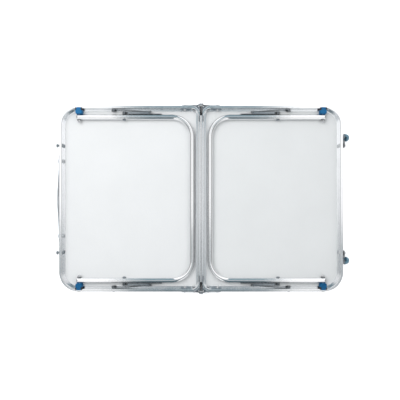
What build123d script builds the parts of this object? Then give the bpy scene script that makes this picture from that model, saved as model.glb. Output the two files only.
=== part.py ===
from build123d import *
import math
import os

# A suitcase-style folding camp table, lying face down and opened flat, with its legs folded in.
# The work surface faces the floor at z = 0 and the underside looks up along +Z.
# +X runs along the table's length, +Y along its width, and the fold line is parallel to Y.
# "left" is -X, "right" is +X, "front" is -Y and "rear" is +Y. All lengths are in millimetres.

# ---------------------------------------------------------------- driving dimensions
TABLE_LENGTH = 1200.0
TABLE_WIDTH = 786.0
HALF_DEPTH = 30.0                 # depth of one half, from the work surface to its rim
SEAM_GAP = 0.6

# frame extrusion: a hollow flat-topped bead with a grooved ledge that holds the panel
BEAD_WIDTH = 12.0
BEAD_WALL = 1.5
RIM_ROUND = 3.0
SURFACE_EDGE_ROUND = 1.2
LEDGE_WIDTH = 8.5
LIP_THICKNESS = 1.3
GROOVE_HEIGHT = 3.7
LEDGE_TOP = 6.4
OUTER_CORNER_RADIUS = 82.0
SEAM_CORNER_RADIUS = 42.0
SEAM_LEDGE_RADIUS = 6.0           # inner corner of the ledge beside the fold line
SPLICE_X = 56.0                   # where the seam rail butts against the outer rail
SPLICE_START = 44.0
SPLICE_END = 92.0

# panel
PANEL_THICKNESS = 3.6
PANEL_INSET = 12.8                # from the frame's outer edge to the panel's edge

# U-shaped leg of round tube, folded flat in its half
TUBE_DIAMETER = 22.0
TUBE_WALL = 1.5
LEG_HEIGHT_Z = 17.5               # height of the tube's centre line and of every brace pivot
LEG_Y = 346.0                     # centre line of a side tube
FOOT_X = 38.0                     # centre line of the cross tube, which is the foot
LEG_BEND_RADIUS = 85.0
PIVOT_X = 517.0
TUBE_END_RADIUS = 12.0            # the tube's end is rounded about the pivot

# two-link brace beside each side tube
FRAME_PIVOT_X = 371.0
LEG_PIVOT_X = 326.0
KNEE_X = 219.0
TAIL_X = 166.0
LINK_HEIGHT = 16.0
LINK_THICKNESS = 2.0
LINK_HEAD_RADIUS = 9.0

# fits
RUNNING_CLEARANCE = 0.06          # radial, on every turning pin
FACE_GAP = 0.3                    # between faces that slide past each other
FASTENER_CLEARANCE = 0.1          # radial, around fixed bolts and rivets

# fasteners
PIVOT_BOLT_DIAMETER = 8.0
LINK_PIN_DIAMETER = 6.0
RIVET_DIAMETER = 6.0
HINGE_PIN_DIAMETER = 8.0

# centre hinges
HINGE_AXIS_Z = HALF_DEPTH + 0.4
HINGE_LUG_RADIUS = 10.5
HINGE_STRIP_RADIUS = 9.0
HINGE_STRIP_Z = 17.0
HINGE_RIVETS_X = (30.0, 69.0)
LEAF_THICKNESS = 2.0
LEAF_GAP = 0.2

# carrying handle, latches and latch studs on the short edges
HANDLE_BOLT_Y = 159.0
HANDLE_END_Y = 185.0
HANDLE_BOW = 10.0
HANDLE_THICKNESS = 3.0
HANDLE_HEIGHT = 20.0
STUD_HEAD_DIAMETER = 19.0
LATCH_REAR_Y = 225.0              # a latch and the stud that it hooks are in line
LATCH_FRONT_Y = -229.0
LATCH_KNOB_OFFSET = 33.0
LATCH_LENGTH = 50.0
LATCH_PLATE_OFFSET = 5.2
KNOB_DIAMETER = 33.0
KNOB_DEPTH = 21.0

# ---------------------------------------------------------------- worked-out values
END_X = TABLE_LENGTH / 2
EDGE_Y = TABLE_WIDTH / 2
RAIL_WIDTH = BEAD_WIDTH + LEDGE_WIDTH
BEAD_INNER_Y = EDGE_Y - BEAD_WIDTH
BEAD_INNER_X = END_X - BEAD_WIDTH
TUBE_RADIUS = TUBE_DIAMETER / 2
TUBE_OUTER_Y = LEG_Y + TUBE_RADIUS
TUBE_INNER_Y = LEG_Y - TUBE_RADIUS
PANEL_TOP = LIP_THICKNESS + PANEL_THICKNESS
FRAME_LINK_LENGTH = FRAME_PIVOT_X - KNEE_X
LEG_LINK_LENGTH = LEG_PIVOT_X - KNEE_X

SIDES = (("left", -1), ("right", 1))
ENDS = (("front", -1), ("rear", 1))

os.makedirs("parts", exist_ok=True)


def hand_in(part, name):
    """Labels a finished piece and writes it to its own STEP file."""
    part.label = name
    export_step(part, f"parts/{name}.step")


def across(x, y, z, sign=1):
    """A plane at x, y, z whose normal points along +Y (sign 1) or -Y (sign -1)."""
    return Plane(origin=(x, y, z), x_dir=(1, 0, 0), z_dir=(0, sign, 0))


def along(x, y, z, sign=1):
    """A plane at x, y, z whose normal points along +X (sign 1) or -X (sign -1)."""
    return Plane(origin=(x, y, z), x_dir=(0, 1, 0), z_dir=(sign, 0, 0))


def half_outline(inset, seam_radius=None):
    """Plan outline of the right half, drawn in from the frame's outer edge by inset."""
    near = SEAM_GAP / 2 + inset
    far = END_X - inset
    with BuildSketch() as outline:
        with Locations(((near + far) / 2, 0)):
            Rectangle(far - near, TABLE_WIDTH - 2 * inset)
        fillet(outline.vertices().group_by(Axis.X)[-1], OUTER_CORNER_RADIUS - inset)
        fillet(outline.vertices().group_by(Axis.X)[0], seam_radius or SEAM_CORNER_RADIUS - inset)
    return outline.sketch


def half_ring(outer_inset, inner_inset, bottom, top, inner_seam_radius=None):
    """A closed band that follows the half's outline between two insets and two heights."""
    outer = half_outline(outer_inset)
    inner = half_outline(inner_inset, inner_seam_radius)
    with BuildPart() as ring:
        with BuildSketch(Plane.XY.offset(bottom)):
            add(outer)
            add(inner, mode=Mode.SUBTRACT)
        extrude(amount=top - bottom)
    return ring.part


def domed_head(diameter, height):
    """A button head: a disc whose outer face is a shallow dome, standing on the XY plane."""
    radius = diameter / 2
    rim = height * 0.3
    with BuildPart() as head:
        with BuildSketch(Plane.XZ):
            with BuildLine():
                Line((0, 0), (radius, 0))
                Line((radius, 0), (radius, rim))
                Spline((radius, rim), (0, height), tangents=[(0, 1), (-1, 0)])
                Line((0, height), (0, 0))
            make_face()
        revolve(axis=Axis.Z)
    return head.part


def headed_pin(diameter, length, head_diameter, head_height, tail_diameter=0.0, tail_height=0.0):
    """A pin along +Z from 0 to length, with a domed head below 0 and an optional tail head."""
    head = domed_head(head_diameter, head_height).rotate(Axis.X, 180)
    with BuildPart() as pin:
        Cylinder(diameter / 2, length, align=(Align.CENTER, Align.CENTER, Align.MIN))
        add(head)
        if tail_height > 0:
            with Locations((0, 0, length)):
                add(domed_head(tail_diameter, tail_height))
    return pin.part


def mirrored(part, sign):
    """The right-hand part itself, or its mirror image on the left half."""
    return part if sign > 0 else part.mirror(Plane.YZ)


def turned(part, sign):
    """The rear part itself, or its mirror image at the front."""
    return part if sign > 0 else part.mirror(Plane.XZ)


# ---------------------------------------------------------------- frame, splices and panel
bead = half_ring(0, BEAD_WIDTH, 0, HALF_DEPTH)
bead_chamber = half_ring(BEAD_WALL, BEAD_WIDTH - BEAD_WALL, BEAD_WALL, HALF_DEPTH - BEAD_WALL)
lip = half_ring(BEAD_WIDTH - BEAD_WALL / 2, RAIL_WIDTH, 0, LIP_THICKNESS, SEAM_LEDGE_RADIUS)
ledge_bottom = LIP_THICKNESS + GROOVE_HEIGHT
ledge = half_ring(BEAD_WIDTH - BEAD_WALL / 2, RAIL_WIDTH, ledge_bottom, LEDGE_TOP, SEAM_LEDGE_RADIUS)

with BuildPart() as rounded_chamber:
    add(bead_chamber)
    top_edges = rounded_chamber.edges().group_by(Axis.Z)[-1]
    fillet(top_edges, RIM_ROUND - BEAD_WALL)

with BuildPart() as frame_loop:
    add(bead)
    rim_edges = frame_loop.edges().group_by(Axis.Z)[-1]
    fillet(rim_edges, RIM_ROUND)
    surface_edges = frame_loop.faces().sort_by(Axis.Z)[0].outer_wire().edges()
    fillet(surface_edges, SURFACE_EDGE_ROUND)
    add(lip)
    add(ledge)
    add(rounded_chamber.part, mode=Mode.SUBTRACT)

panel_outline = half_outline(PANEL_INSET)
with BuildPart() as panel:
    with BuildSketch(Plane.XY.offset(LIP_THICKNESS)):
        add(panel_outline)
    extrude(amount=PANEL_THICKNESS)

with BuildPart() as splice_bars:
    bar_width = BEAD_WIDTH - 2 * BEAD_WALL
    bar_height = HALF_DEPTH - 2 * BEAD_WALL - 6.0
    for _, end in ENDS:
        with Locations(((SPLICE_START + SPLICE_END) / 2, end * (EDGE_Y - BEAD_WIDTH / 2), BEAD_WALL)):
            Box(SPLICE_END - SPLICE_START, bar_width, bar_height,
                align=(Align.CENTER, Align.CENTER, Align.MIN))
    for _, end in ENDS:
        with BuildSketch(across(HINGE_RIVETS_X[1], end * (EDGE_Y - BEAD_WIDTH), HINGE_STRIP_Z, end)):
            Circle(RIVET_DIAMETER / 2 + FASTENER_CLEARANCE)
        extrude(amount=BEAD_WIDTH, mode=Mode.SUBTRACT)

for side, sign in SIDES:
    with BuildPart() as drilled_loop:
        add(frame_loop.part)
        # holes through the long rails for the pivot bolts, brace bolts and hinge rivets
        hole_sizes = [(PIVOT_X, LEG_HEIGHT_Z, PIVOT_BOLT_DIAMETER),
                      (FRAME_PIVOT_X, LEG_HEIGHT_Z, LINK_PIN_DIAMETER)]
        hole_sizes += [(rivet_x, HINGE_STRIP_Z, RIVET_DIAMETER) for rivet_x in HINGE_RIVETS_X]
        for _, end in ENDS:
            for hole_x, hole_z, diameter in hole_sizes:
                with BuildSketch(across(hole_x, end * (EDGE_Y - RAIL_WIDTH), hole_z, end)):
                    Circle(diameter / 2 + FASTENER_CLEARANCE)
                extrude(amount=RAIL_WIDTH + 1, mode=Mode.SUBTRACT)
        # holes through the short rail for the studs and handle, or for the latches
        short_rail_holes = (LATCH_FRONT_Y, LATCH_REAR_Y)
        if side == "left":
            short_rail_holes += (-HANDLE_BOLT_Y, HANDLE_BOLT_Y)
        for hole_y in short_rail_holes:
            with BuildSketch(along(END_X - RAIL_WIDTH, hole_y, LEG_HEIGHT_Z)):
                Circle(LINK_PIN_DIAMETER / 2 + FASTENER_CLEARANCE)
            extrude(amount=RAIL_WIDTH + 1, mode=Mode.SUBTRACT)

    with BuildPart() as outer_rail:
        add(drilled_loop.part)
        split(bisect_by=Plane.YZ.offset(SPLICE_X), keep=Keep.TOP)
    hand_in(mirrored(outer_rail.part, sign), f"outer_rail_{side}")

    with BuildPart() as seam_rail:
        add(drilled_loop.part)
        split(bisect_by=Plane.YZ.offset(SPLICE_X), keep=Keep.BOTTOM)
    hand_in(mirrored(seam_rail.part, sign), f"seam_rail_{side}")

    hand_in(mirrored(splice_bars.part, sign), f"rail_splices_{side}")
    hand_in(mirrored(panel.part, sign), f"tabletop_{side}")

# ---------------------------------------------------------------- leg pivots
BLOCK_LENGTH = 30.0
BLOCK_TOP = 29.4
BLOCK_CORNER_RADIUS = 9.0
BLOCK_SIDE_BEVEL = 4.0
BLOCK_NOTCH = 5.0
BLOCK_INNER_Y = TUBE_OUTER_Y + 0.5
WASHER_THICKNESS = 1.5
PIVOT_HEAD = 4.0
NUT_FLATS = 13.0
NUT_HEIGHT = 8.0
nut_start_y = TUBE_INNER_Y - FACE_GAP

with BuildPart() as pivot_block:
    block_depth = BEAD_INNER_Y - BLOCK_INNER_Y
    with BuildSketch(Plane.XY.offset(PANEL_TOP)) as block_plan:
        with Locations((PIVOT_X, BLOCK_INNER_Y + block_depth / 2)):
            Rectangle(BLOCK_LENGTH, block_depth)
        fillet(block_plan.vertices().group_by(Axis.Y)[0], BLOCK_CORNER_RADIUS)
        with Locations((PIVOT_X - BLOCK_LENGTH / 2, BEAD_INNER_Y), (PIVOT_X + BLOCK_LENGTH / 2, BEAD_INNER_Y)):
            Rectangle(2 * BLOCK_NOTCH, 2 * BLOCK_NOTCH, mode=Mode.SUBTRACT)
    extrude(amount=BLOCK_TOP - PANEL_TOP)
    top_sides = pivot_block.faces().sort_by(Axis.Z)[-1].edges().filter_by(Axis.Y)
    chamfer(top_sides, BLOCK_SIDE_BEVEL, BLOCK_SIDE_BEVEL * 0.6)
    # the block sits on the rail's ledge and follows its corner
    add(frame_loop.part, mode=Mode.SUBTRACT)
    with BuildSketch(across(PIVOT_X, BLOCK_INNER_Y - 1, LEG_HEIGHT_Z)):
        Circle(PIVOT_BOLT_DIAMETER / 2 + FASTENER_CLEARANCE)
    extrude(amount=block_depth + 2, mode=Mode.SUBTRACT)

pivot_bolt_length = EDGE_Y - (nut_start_y - WASHER_THICKNESS - NUT_HEIGHT * 0.7)
with BuildPart() as pivot_bolt:
    with Locations(across(PIVOT_X, EDGE_Y, LEG_HEIGHT_Z, -1)):
        add(headed_pin(PIVOT_BOLT_DIAMETER, pivot_bolt_length, 16.0, PIVOT_HEAD))

with BuildPart() as pivot_washer:
    with BuildSketch(across(PIVOT_X, nut_start_y, LEG_HEIGHT_Z, -1)):
        Circle(9.0)
        Circle(PIVOT_BOLT_DIAMETER / 2, mode=Mode.SUBTRACT)
    extrude(amount=WASHER_THICKNESS)
    chamfer(pivot_washer.edges().sort_by(SortBy.LENGTH)[-2:], 0.3)

with BuildPart() as pivot_nut:
    nut_plane = across(PIVOT_X, nut_start_y - WASHER_THICKNESS, LEG_HEIGHT_Z, -1)
    with BuildSketch(nut_plane):
        RegularPolygon(NUT_FLATS / 2, 6, major_radius=False)
    extrude(amount=NUT_HEIGHT * 0.55)
    with Locations(nut_plane.offset(NUT_HEIGHT * 0.55)):
        add(domed_head(NUT_FLATS - 1.0, NUT_HEIGHT * 0.45))
    with BuildSketch(nut_plane):
        Circle(PIVOT_BOLT_DIAMETER / 2)
    extrude(amount=NUT_HEIGHT * 0.7, mode=Mode.SUBTRACT)

for side, sign in SIDES:
    for end_name, end in ENDS:
        block = turned(mirrored(pivot_block.part, sign), end)
        hand_in(block, f"pivot_block_{side}_{end_name}")
    with BuildPart() as pivot_bolts:
        for _, end in ENDS:
            add(turned(mirrored(pivot_bolt.part, sign), end))
    hand_in(pivot_bolts.part, f"pivot_bolts_{side}")
    with BuildPart() as pivot_washers:
        for _, end in ENDS:
            add(turned(mirrored(pivot_washer.part, sign), end))
    hand_in(pivot_washers.part, f"pivot_washers_{side}")
    with BuildPart() as pivot_nuts:
        for _, end in ENDS:
            add(turned(mirrored(pivot_nut.part, sign), end))
    hand_in(pivot_nuts.part, f"pivot_nuts_{side}")

# ---------------------------------------------------------------- brace bolts on the frame
SPACER_THICKNESS = 1.7
BRACE_NUT_LENGTH = 7.5
link_start_y = BEAD_INNER_Y - SPACER_THICKNESS - FACE_GAP
brace_nut_y = link_start_y - LINK_THICKNESS - FACE_GAP
brace_bolt_length = EDGE_Y - (brace_nut_y - BRACE_NUT_LENGTH - 1.5)

with BuildPart() as brace_bolt:
    with Locations(across(FRAME_PIVOT_X, EDGE_Y, LEG_HEIGHT_Z, -1)):
        add(headed_pin(LINK_PIN_DIAMETER, brace_bolt_length, 14.0, 3.5))

with BuildPart() as brace_nut:
    with BuildSketch(across(FRAME_PIVOT_X, brace_nut_y, LEG_HEIGHT_Z, -1)):
        RegularPolygon(8.0, 6, major_radius=False)
        Circle(LINK_PIN_DIAMETER / 2, mode=Mode.SUBTRACT)
    extrude(amount=BRACE_NUT_LENGTH)
    chamfer(brace_nut.edges().group_by(Axis.Y)[0].filter_by(GeomType.LINE), 0.8)

with BuildPart() as brace_spacer:
    with BuildSketch(across(FRAME_PIVOT_X, BEAD_INNER_Y, LEG_HEIGHT_Z, -1)):
        Circle(6.5)
        Circle(LINK_PIN_DIAMETER / 2, mode=Mode.SUBTRACT)
    extrude(amount=SPACER_THICKNESS)

for side, sign in SIDES:
    with BuildPart() as brace_bolts:
        for _, end in ENDS:
            add(turned(mirrored(brace_bolt.part, sign), end))
    hand_in(brace_bolts.part, f"brace_bolts_{side}")
    with BuildPart() as brace_nuts:
        for _, end in ENDS:
            add(turned(mirrored(brace_nut.part, sign), end))
            add(turned(mirrored(brace_spacer.part, sign), end))
    hand_in(brace_nuts.part, f"brace_nuts_{side}")

# ---------------------------------------------------------------- U-shaped legs
tube_end_x = PIVOT_X + TUBE_END_RADIUS + 1

with BuildPart() as leg_tube:
    with BuildLine(Plane.XY.offset(LEG_HEIGHT_Z)) as leg_line:
        FilletPolyline((tube_end_x, -LEG_Y), (FOOT_X, -LEG_Y), (FOOT_X, LEG_Y), (tube_end_x, LEG_Y),
                       radius=LEG_BEND_RADIUS)
    with BuildSketch(along(tube_end_x, -LEG_Y, LEG_HEIGHT_Z, -1)):
        Circle(TUBE_RADIUS)
        Circle(TUBE_RADIUS - TUBE_WALL, mode=Mode.SUBTRACT)
    sweep(path=leg_line.wires()[0])
    for _, end in ENDS:
        # cross holes for the pivot bolt and the brace bolt
        with BuildSketch(across(PIVOT_X, end * TUBE_INNER_Y, LEG_HEIGHT_Z, end)):
            Circle(PIVOT_BOLT_DIAMETER / 2 + RUNNING_CLEARANCE)
        extrude(amount=TUBE_DIAMETER, mode=Mode.SUBTRACT)
        with BuildSketch(across(LEG_PIVOT_X, end * TUBE_INNER_Y, LEG_HEIGHT_Z, end)):
            Circle(LINK_PIN_DIAMETER / 2 + FASTENER_CLEARANCE)
        extrude(amount=TUBE_DIAMETER, mode=Mode.SUBTRACT)
        # the end is rounded about the pivot, so that it clears the panel as the leg swings
        with BuildSketch(across(PIVOT_X, end * TUBE_INNER_Y, LEG_HEIGHT_Z, end)):
            with Locations((TUBE_DIAMETER / 2, 0)):
                Rectangle(TUBE_DIAMETER, TUBE_DIAMETER * 1.5)
            Circle(TUBE_END_RADIUS, mode=Mode.SUBTRACT)
        extrude(amount=TUBE_DIAMETER, mode=Mode.SUBTRACT)

PLUG_LENGTH = 20.0
with BuildPart() as leg_plug:
    with BuildSketch(along(PIVOT_X - PLUG_LENGTH / 2, LEG_Y, LEG_HEIGHT_Z)):
        Circle(TUBE_RADIUS - TUBE_WALL)
    extrude(amount=PLUG_LENGTH / 2 + TUBE_END_RADIUS)
    with BuildSketch(across(PIVOT_X, TUBE_INNER_Y, LEG_HEIGHT_Z)):
        with Locations((TUBE_DIAMETER / 2, 0)):
            Rectangle(TUBE_DIAMETER, TUBE_DIAMETER * 1.5)
        Circle(TUBE_END_RADIUS - 0.6, mode=Mode.SUBTRACT)
    extrude(amount=TUBE_DIAMETER, mode=Mode.SUBTRACT)
    with BuildSketch(across(PIVOT_X, TUBE_INNER_Y, LEG_HEIGHT_Z)):
        Circle(PIVOT_BOLT_DIAMETER / 2 + RUNNING_CLEARANCE)
    extrude(amount=TUBE_DIAMETER, mode=Mode.SUBTRACT)

CHANNEL_OUTER_Y = TUBE_OUTER_Y + 10.5     # rail-side face of the leg link
CHANNEL_WALL = 1.6
CHANNEL_INNER_Y = TUBE_OUTER_Y + 1.2      # face of the leg link beside the tube
bush_top_y = CHANNEL_OUTER_Y - CHANNEL_WALL - FACE_GAP
leg_bolt_length = CHANNEL_OUTER_Y + FACE_GAP - TUBE_INNER_Y

with BuildPart() as leg_bolt:
    with Locations(across(LEG_PIVOT_X, TUBE_INNER_Y, LEG_HEIGHT_Z)):
        add(headed_pin(LINK_PIN_DIAMETER, leg_bolt_length, 15.0, 4.5, 13.0, 2.5))

with BuildPart() as leg_bush:
    with BuildSketch(across(LEG_PIVOT_X, TUBE_OUTER_Y, LEG_HEIGHT_Z)):
        Circle(7.5)
        Circle(LINK_PIN_DIAMETER / 2, mode=Mode.SUBTRACT)
    extrude(amount=bush_top_y - TUBE_OUTER_Y)
    chamfer(leg_bush.edges().group_by(Axis.Y)[-1].sort_by(SortBy.LENGTH)[-1], 0.5)

for side, sign in SIDES:
    hand_in(mirrored(leg_tube.part, sign), f"leg_tube_{side}")
    with BuildPart() as leg_plugs:
        for _, end in ENDS:
            add(turned(mirrored(leg_plug.part, sign), end))
    hand_in(leg_plugs.part, f"leg_plugs_{side}")
    with BuildPart() as leg_bolts:
        for _, end in ENDS:
            add(turned(mirrored(leg_bolt.part, sign), end))
    hand_in(leg_bolts.part, f"leg_bolts_{side}")
    with BuildPart() as leg_bushes:
        for _, end in ENDS:
            add(turned(mirrored(leg_bush.part, sign), end))
    hand_in(leg_bushes.part, f"leg_bushes_{side}")

# ---------------------------------------------------------------- folding braces
link_low_z = LEG_HEIGHT_Z - LINK_HEIGHT / 2
knee_link_y = CHANNEL_OUTER_Y + FACE_GAP + 1.2 + LINK_THICKNESS / 2     # frame link at the knee
frame_end_y = link_start_y - LINK_THICKNESS / 2                         # frame link at the frame

# frame link: a flat bar, joggled in plan from the rail across to the leg link
with BuildPart() as frame_link:
    with BuildSketch(Plane.XY.offset(link_low_z - 1)):
        with BuildLine() as bar_line:
            FilletPolyline((FRAME_PIVOT_X + LINK_HEAD_RADIUS, frame_end_y),
                           (FRAME_PIVOT_X - 22, frame_end_y),
                           (FRAME_PIVOT_X - 60, knee_link_y + 5.5),
                           (KNEE_X + 24, knee_link_y),
                           (KNEE_X - LINK_HEAD_RADIUS, knee_link_y),
                           radius=24)
        trace(bar_line.line, LINK_THICKNESS)
    extrude(amount=LINK_HEIGHT + 2)
    # side profile: a bar with rounded eyes at both ends
    with BuildSketch(across((FRAME_PIVOT_X + KNEE_X) / 2, LEG_Y, LEG_HEIGHT_Z)) as side_profile:
        SlotCenterToCenter(FRAME_LINK_LENGTH, LINK_HEIGHT)
        with Locations((-FRAME_LINK_LENGTH / 2, 0), (FRAME_LINK_LENGTH / 2, 0)):
            Circle(LINK_HEAD_RADIUS - 0.5)
            Circle(LINK_PIN_DIAMETER / 2 + RUNNING_CLEARANCE, mode=Mode.SUBTRACT)
    extrude(amount=EDGE_Y - LEG_Y, mode=Mode.INTERSECT)

# leg link: a pressed channel with a pivot eye at the tube and a tail beyond the knee
with BuildPart() as leg_link:
    with BuildSketch(across((LEG_PIVOT_X + KNEE_X) / 2, CHANNEL_OUTER_Y - CHANNEL_WALL, LEG_HEIGHT_Z)):
        SlotCenterToCenter(LEG_LINK_LENGTH, LINK_HEIGHT)
    extrude(amount=CHANNEL_WALL)
    channel_start = KNEE_X + 2
    channel_end = LEG_PIVOT_X - 15
    with Locations(((channel_start + channel_end) / 2, CHANNEL_INNER_Y, LEG_HEIGHT_Z + LINK_HEIGHT / 2)):
        Box(channel_end - channel_start, CHANNEL_OUTER_Y - CHANNEL_INNER_Y, CHANNEL_WALL,
            align=(Align.CENTER, Align.MIN, Align.MAX))
    tail_plane = across((channel_end + TAIL_X) / 2, CHANNEL_INNER_Y, LEG_HEIGHT_Z)
    with BuildSketch(tail_plane) as tail_flange:
        Rectangle(channel_end - TAIL_X, LINK_HEIGHT)
        fillet(tail_flange.vertices().group_by(Axis.X)[0], LINK_HEIGHT / 2 - 0.5)
        fillet(tail_flange.vertices().group_by(Axis.X)[-1], 4)
    extrude(amount=CHANNEL_WALL)
    # boss that carries the knee rivet's tail
    with BuildSketch(across(KNEE_X, CHANNEL_OUTER_Y - CHANNEL_WALL, LEG_HEIGHT_Z, -1)):
        Circle(5.5)
    extrude(amount=2.4)
    with BuildSketch(across(LEG_PIVOT_X, CHANNEL_OUTER_Y - 2 * CHANNEL_WALL, LEG_HEIGHT_Z)):
        Circle(LINK_PIN_DIAMETER / 2 + RUNNING_CLEARANCE)
    extrude(amount=3 * CHANNEL_WALL, mode=Mode.SUBTRACT)

# knee rivet: rides on the frame link and stops just short of the leg link
with BuildPart() as knee_rivet:
    rivet_length = LINK_THICKNESS + 1.2
    with Locations(across(KNEE_X, knee_link_y + LINK_THICKNESS / 2, LEG_HEIGHT_Z, -1)):
        add(headed_pin(LINK_PIN_DIAMETER, rivet_length - 0.2, 13.0, 2.6))

for side, sign in SIDES:
    for end_name, end in ENDS:
        place = f"{side}_{end_name}"
        hand_in(turned(mirrored(frame_link.part, sign), end), f"frame_link_{place}")
        hand_in(turned(mirrored(leg_link.part, sign), end), f"leg_link_{place}")
        hand_in(turned(mirrored(knee_rivet.part, sign), end), f"knee_rivet_{place}")

# ---------------------------------------------------------------- centre hinges
inner_leaf_y = EDGE_Y + LEAF_GAP
outer_leaf_y = inner_leaf_y + LEAF_THICKNESS + FACE_GAP
strip_start_x = 20.0
strip_end_x = HINGE_RIVETS_X[1] + 6.0
inner_lug_x = 24.0
outer_lug_x = 12.0


def lug_outline(lower_x):
    """Side outline of a hinge lug: a round eye that tapers down to the strip at lower_x."""
    with BuildSketch() as outline:
        with Locations((0, HINGE_AXIS_Z)):
            Circle(HINGE_LUG_RADIUS)
        with Locations((lower_x, HINGE_STRIP_Z)):
            Circle(HINGE_STRIP_RADIUS)
        make_hull()
    return outline.sketch


with BuildSketch() as strip_outline:
    with Locations(((strip_start_x + strip_end_x) / 2, HINGE_STRIP_Z)):
        SlotCenterToCenter(strip_end_x - strip_start_x, 2 * HINGE_STRIP_RADIUS)

with BuildPart() as inner_leaf:
    with BuildSketch(across(0, inner_leaf_y, 0, -1)):
        add(lug_outline(inner_lug_x))
        add(strip_outline.sketch)
    extrude(amount=-LEAF_THICKNESS)
    for rivet_x in HINGE_RIVETS_X:
        with BuildSketch(across(rivet_x, inner_leaf_y, HINGE_STRIP_Z)):
            Circle(RIVET_DIAMETER / 2)
        extrude(amount=LEAF_THICKNESS, mode=Mode.SUBTRACT)

# the outer leaf steps over the inner one: its strip lies on the rail and its lug outside
with BuildPart() as outer_leaf:
    with BuildSketch(across(0, inner_leaf_y, 0, -1)):
        add(strip_outline.sketch)
    extrude(amount=-(LEAF_THICKNESS + FACE_GAP))
    with BuildSketch(across(0, outer_leaf_y, 0, -1)):
        add(lug_outline(outer_lug_x))
    extrude(amount=-LEAF_THICKNESS)
    for rivet_x in HINGE_RIVETS_X:
        with BuildSketch(across(rivet_x, inner_leaf_y, HINGE_STRIP_Z)):
            Circle(RIVET_DIAMETER / 2)
        extrude(amount=3 * LEAF_THICKNESS, mode=Mode.SUBTRACT)


def hinge_leaf(leaf, hole_radius):
    """A right-hand rear leaf with its pin hole bored to the given radius."""
    with BuildPart() as bored:
        add(leaf)
        with BuildSketch(across(0, EDGE_Y, HINGE_AXIS_Z)):
            Circle(hole_radius)
        extrude(amount=10, mode=Mode.SUBTRACT)
    return bored.part


# the pin is fixed in the left leaf of each hinge and the right leaf turns on it
fixed_hole = HINGE_PIN_DIAMETER / 2
turning_hole = HINGE_PIN_DIAMETER / 2 + RUNNING_CLEARANCE
rear_left_leaf = mirrored(hinge_leaf(outer_leaf.part, fixed_hole), -1)
rear_right_leaf = hinge_leaf(inner_leaf.part, turning_hole)
front_left_leaf = turned(mirrored(hinge_leaf(inner_leaf.part, fixed_hole), -1), -1)
front_right_leaf = turned(hinge_leaf(outer_leaf.part, turning_hole), -1)
hand_in(rear_left_leaf, "hinge_leaf_left_rear")
hand_in(rear_right_leaf, "hinge_leaf_right_rear")
hand_in(front_left_leaf, "hinge_leaf_left_front")
hand_in(front_right_leaf, "hinge_leaf_right_front")

hinge_pin_end = outer_leaf_y + LEAF_THICKNESS + FACE_GAP
hinge_pin_start = inner_leaf_y - FACE_GAP
with BuildPart() as hinge_pin:
    with Locations(across(0, hinge_pin_end, HINGE_AXIS_Z, -1)):
        add(headed_pin(HINGE_PIN_DIAMETER, hinge_pin_end - hinge_pin_start, 21.0, 5.0, 14.0, 2.5))

with BuildPart() as hinge_pins:
    for _, end in ENDS:
        add(turned(hinge_pin.part, end))
hand_in(hinge_pins.part, "hinge_pins")

BACKER_THICKNESS = 2.0
backer_start_x = 44.0
backer_end_x = 86.0
corner_centre_x = SEAM_GAP / 2 + SEAM_CORNER_RADIUS
inner_corner_radius = SEAM_CORNER_RADIUS - BEAD_WIDTH
near_rivet_drop = inner_corner_radius - math.sqrt(
    inner_corner_radius ** 2 - (corner_centre_x - HINGE_RIVETS_X[0] + 5) ** 2)
rivet_ends_y = (BEAD_INNER_Y - near_rivet_drop, BEAD_INNER_Y - BACKER_THICKNESS)

# backing angle inside the rail, across the splice, under the far rivet's tail
with BuildPart() as hinge_backer:
    backer_middle = (backer_start_x + backer_end_x) / 2
    backer_length = backer_end_x - backer_start_x
    with Locations((backer_middle, BEAD_INNER_Y, LEDGE_TOP)):
        Box(backer_length, BACKER_THICKNESS, HALF_DEPTH - 5 - LEDGE_TOP,
            align=(Align.CENTER, Align.MAX, Align.MIN))
        Box(backer_length, LEDGE_WIDTH - 0.5, BACKER_THICKNESS,
            align=(Align.CENTER, Align.MAX, Align.MIN))
    with BuildSketch(across(HINGE_RIVETS_X[1], BEAD_INNER_Y, HINGE_STRIP_Z, -1)):
        Circle(RIVET_DIAMETER / 2 + FASTENER_CLEARANCE)
    extrude(amount=BACKER_THICKNESS, mode=Mode.SUBTRACT)


def hinge_rivet_pair(leaf_face_y):
    """The two rivets of a right-hand rear leaf whose outer face is at leaf_face_y."""
    with BuildPart() as pair:
        for rivet_x, tail_y in zip(HINGE_RIVETS_X, rivet_ends_y):
            with Locations(across(rivet_x, leaf_face_y, HINGE_STRIP_Z, -1)):
                add(headed_pin(RIVET_DIAMETER, leaf_face_y - tail_y, 12.0, 3.0, 10.0, 2.5))
    return pair.part


inner_leaf_face = inner_leaf_y + LEAF_THICKNESS
outer_strip_face = inner_leaf_face + FACE_GAP
for side, sign in SIDES:
    rear_face = inner_leaf_face if side == "right" else outer_strip_face
    front_face = outer_strip_face if side == "right" else inner_leaf_face
    rear_pair = hinge_rivet_pair(rear_face)
    front_pair = hinge_rivet_pair(front_face)
    with BuildPart() as hinge_rivets:
        add(mirrored(rear_pair, sign))
        add(turned(mirrored(front_pair, sign), -1))
    hand_in(hinge_rivets.part, f"hinge_rivets_{side}")
    with BuildPart() as hinge_backers:
        for _, end in ENDS:
            add(turned(mirrored(hinge_backer.part, sign), end))
    hand_in(hinge_backers.part, f"hinge_backers_{side}")

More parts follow.
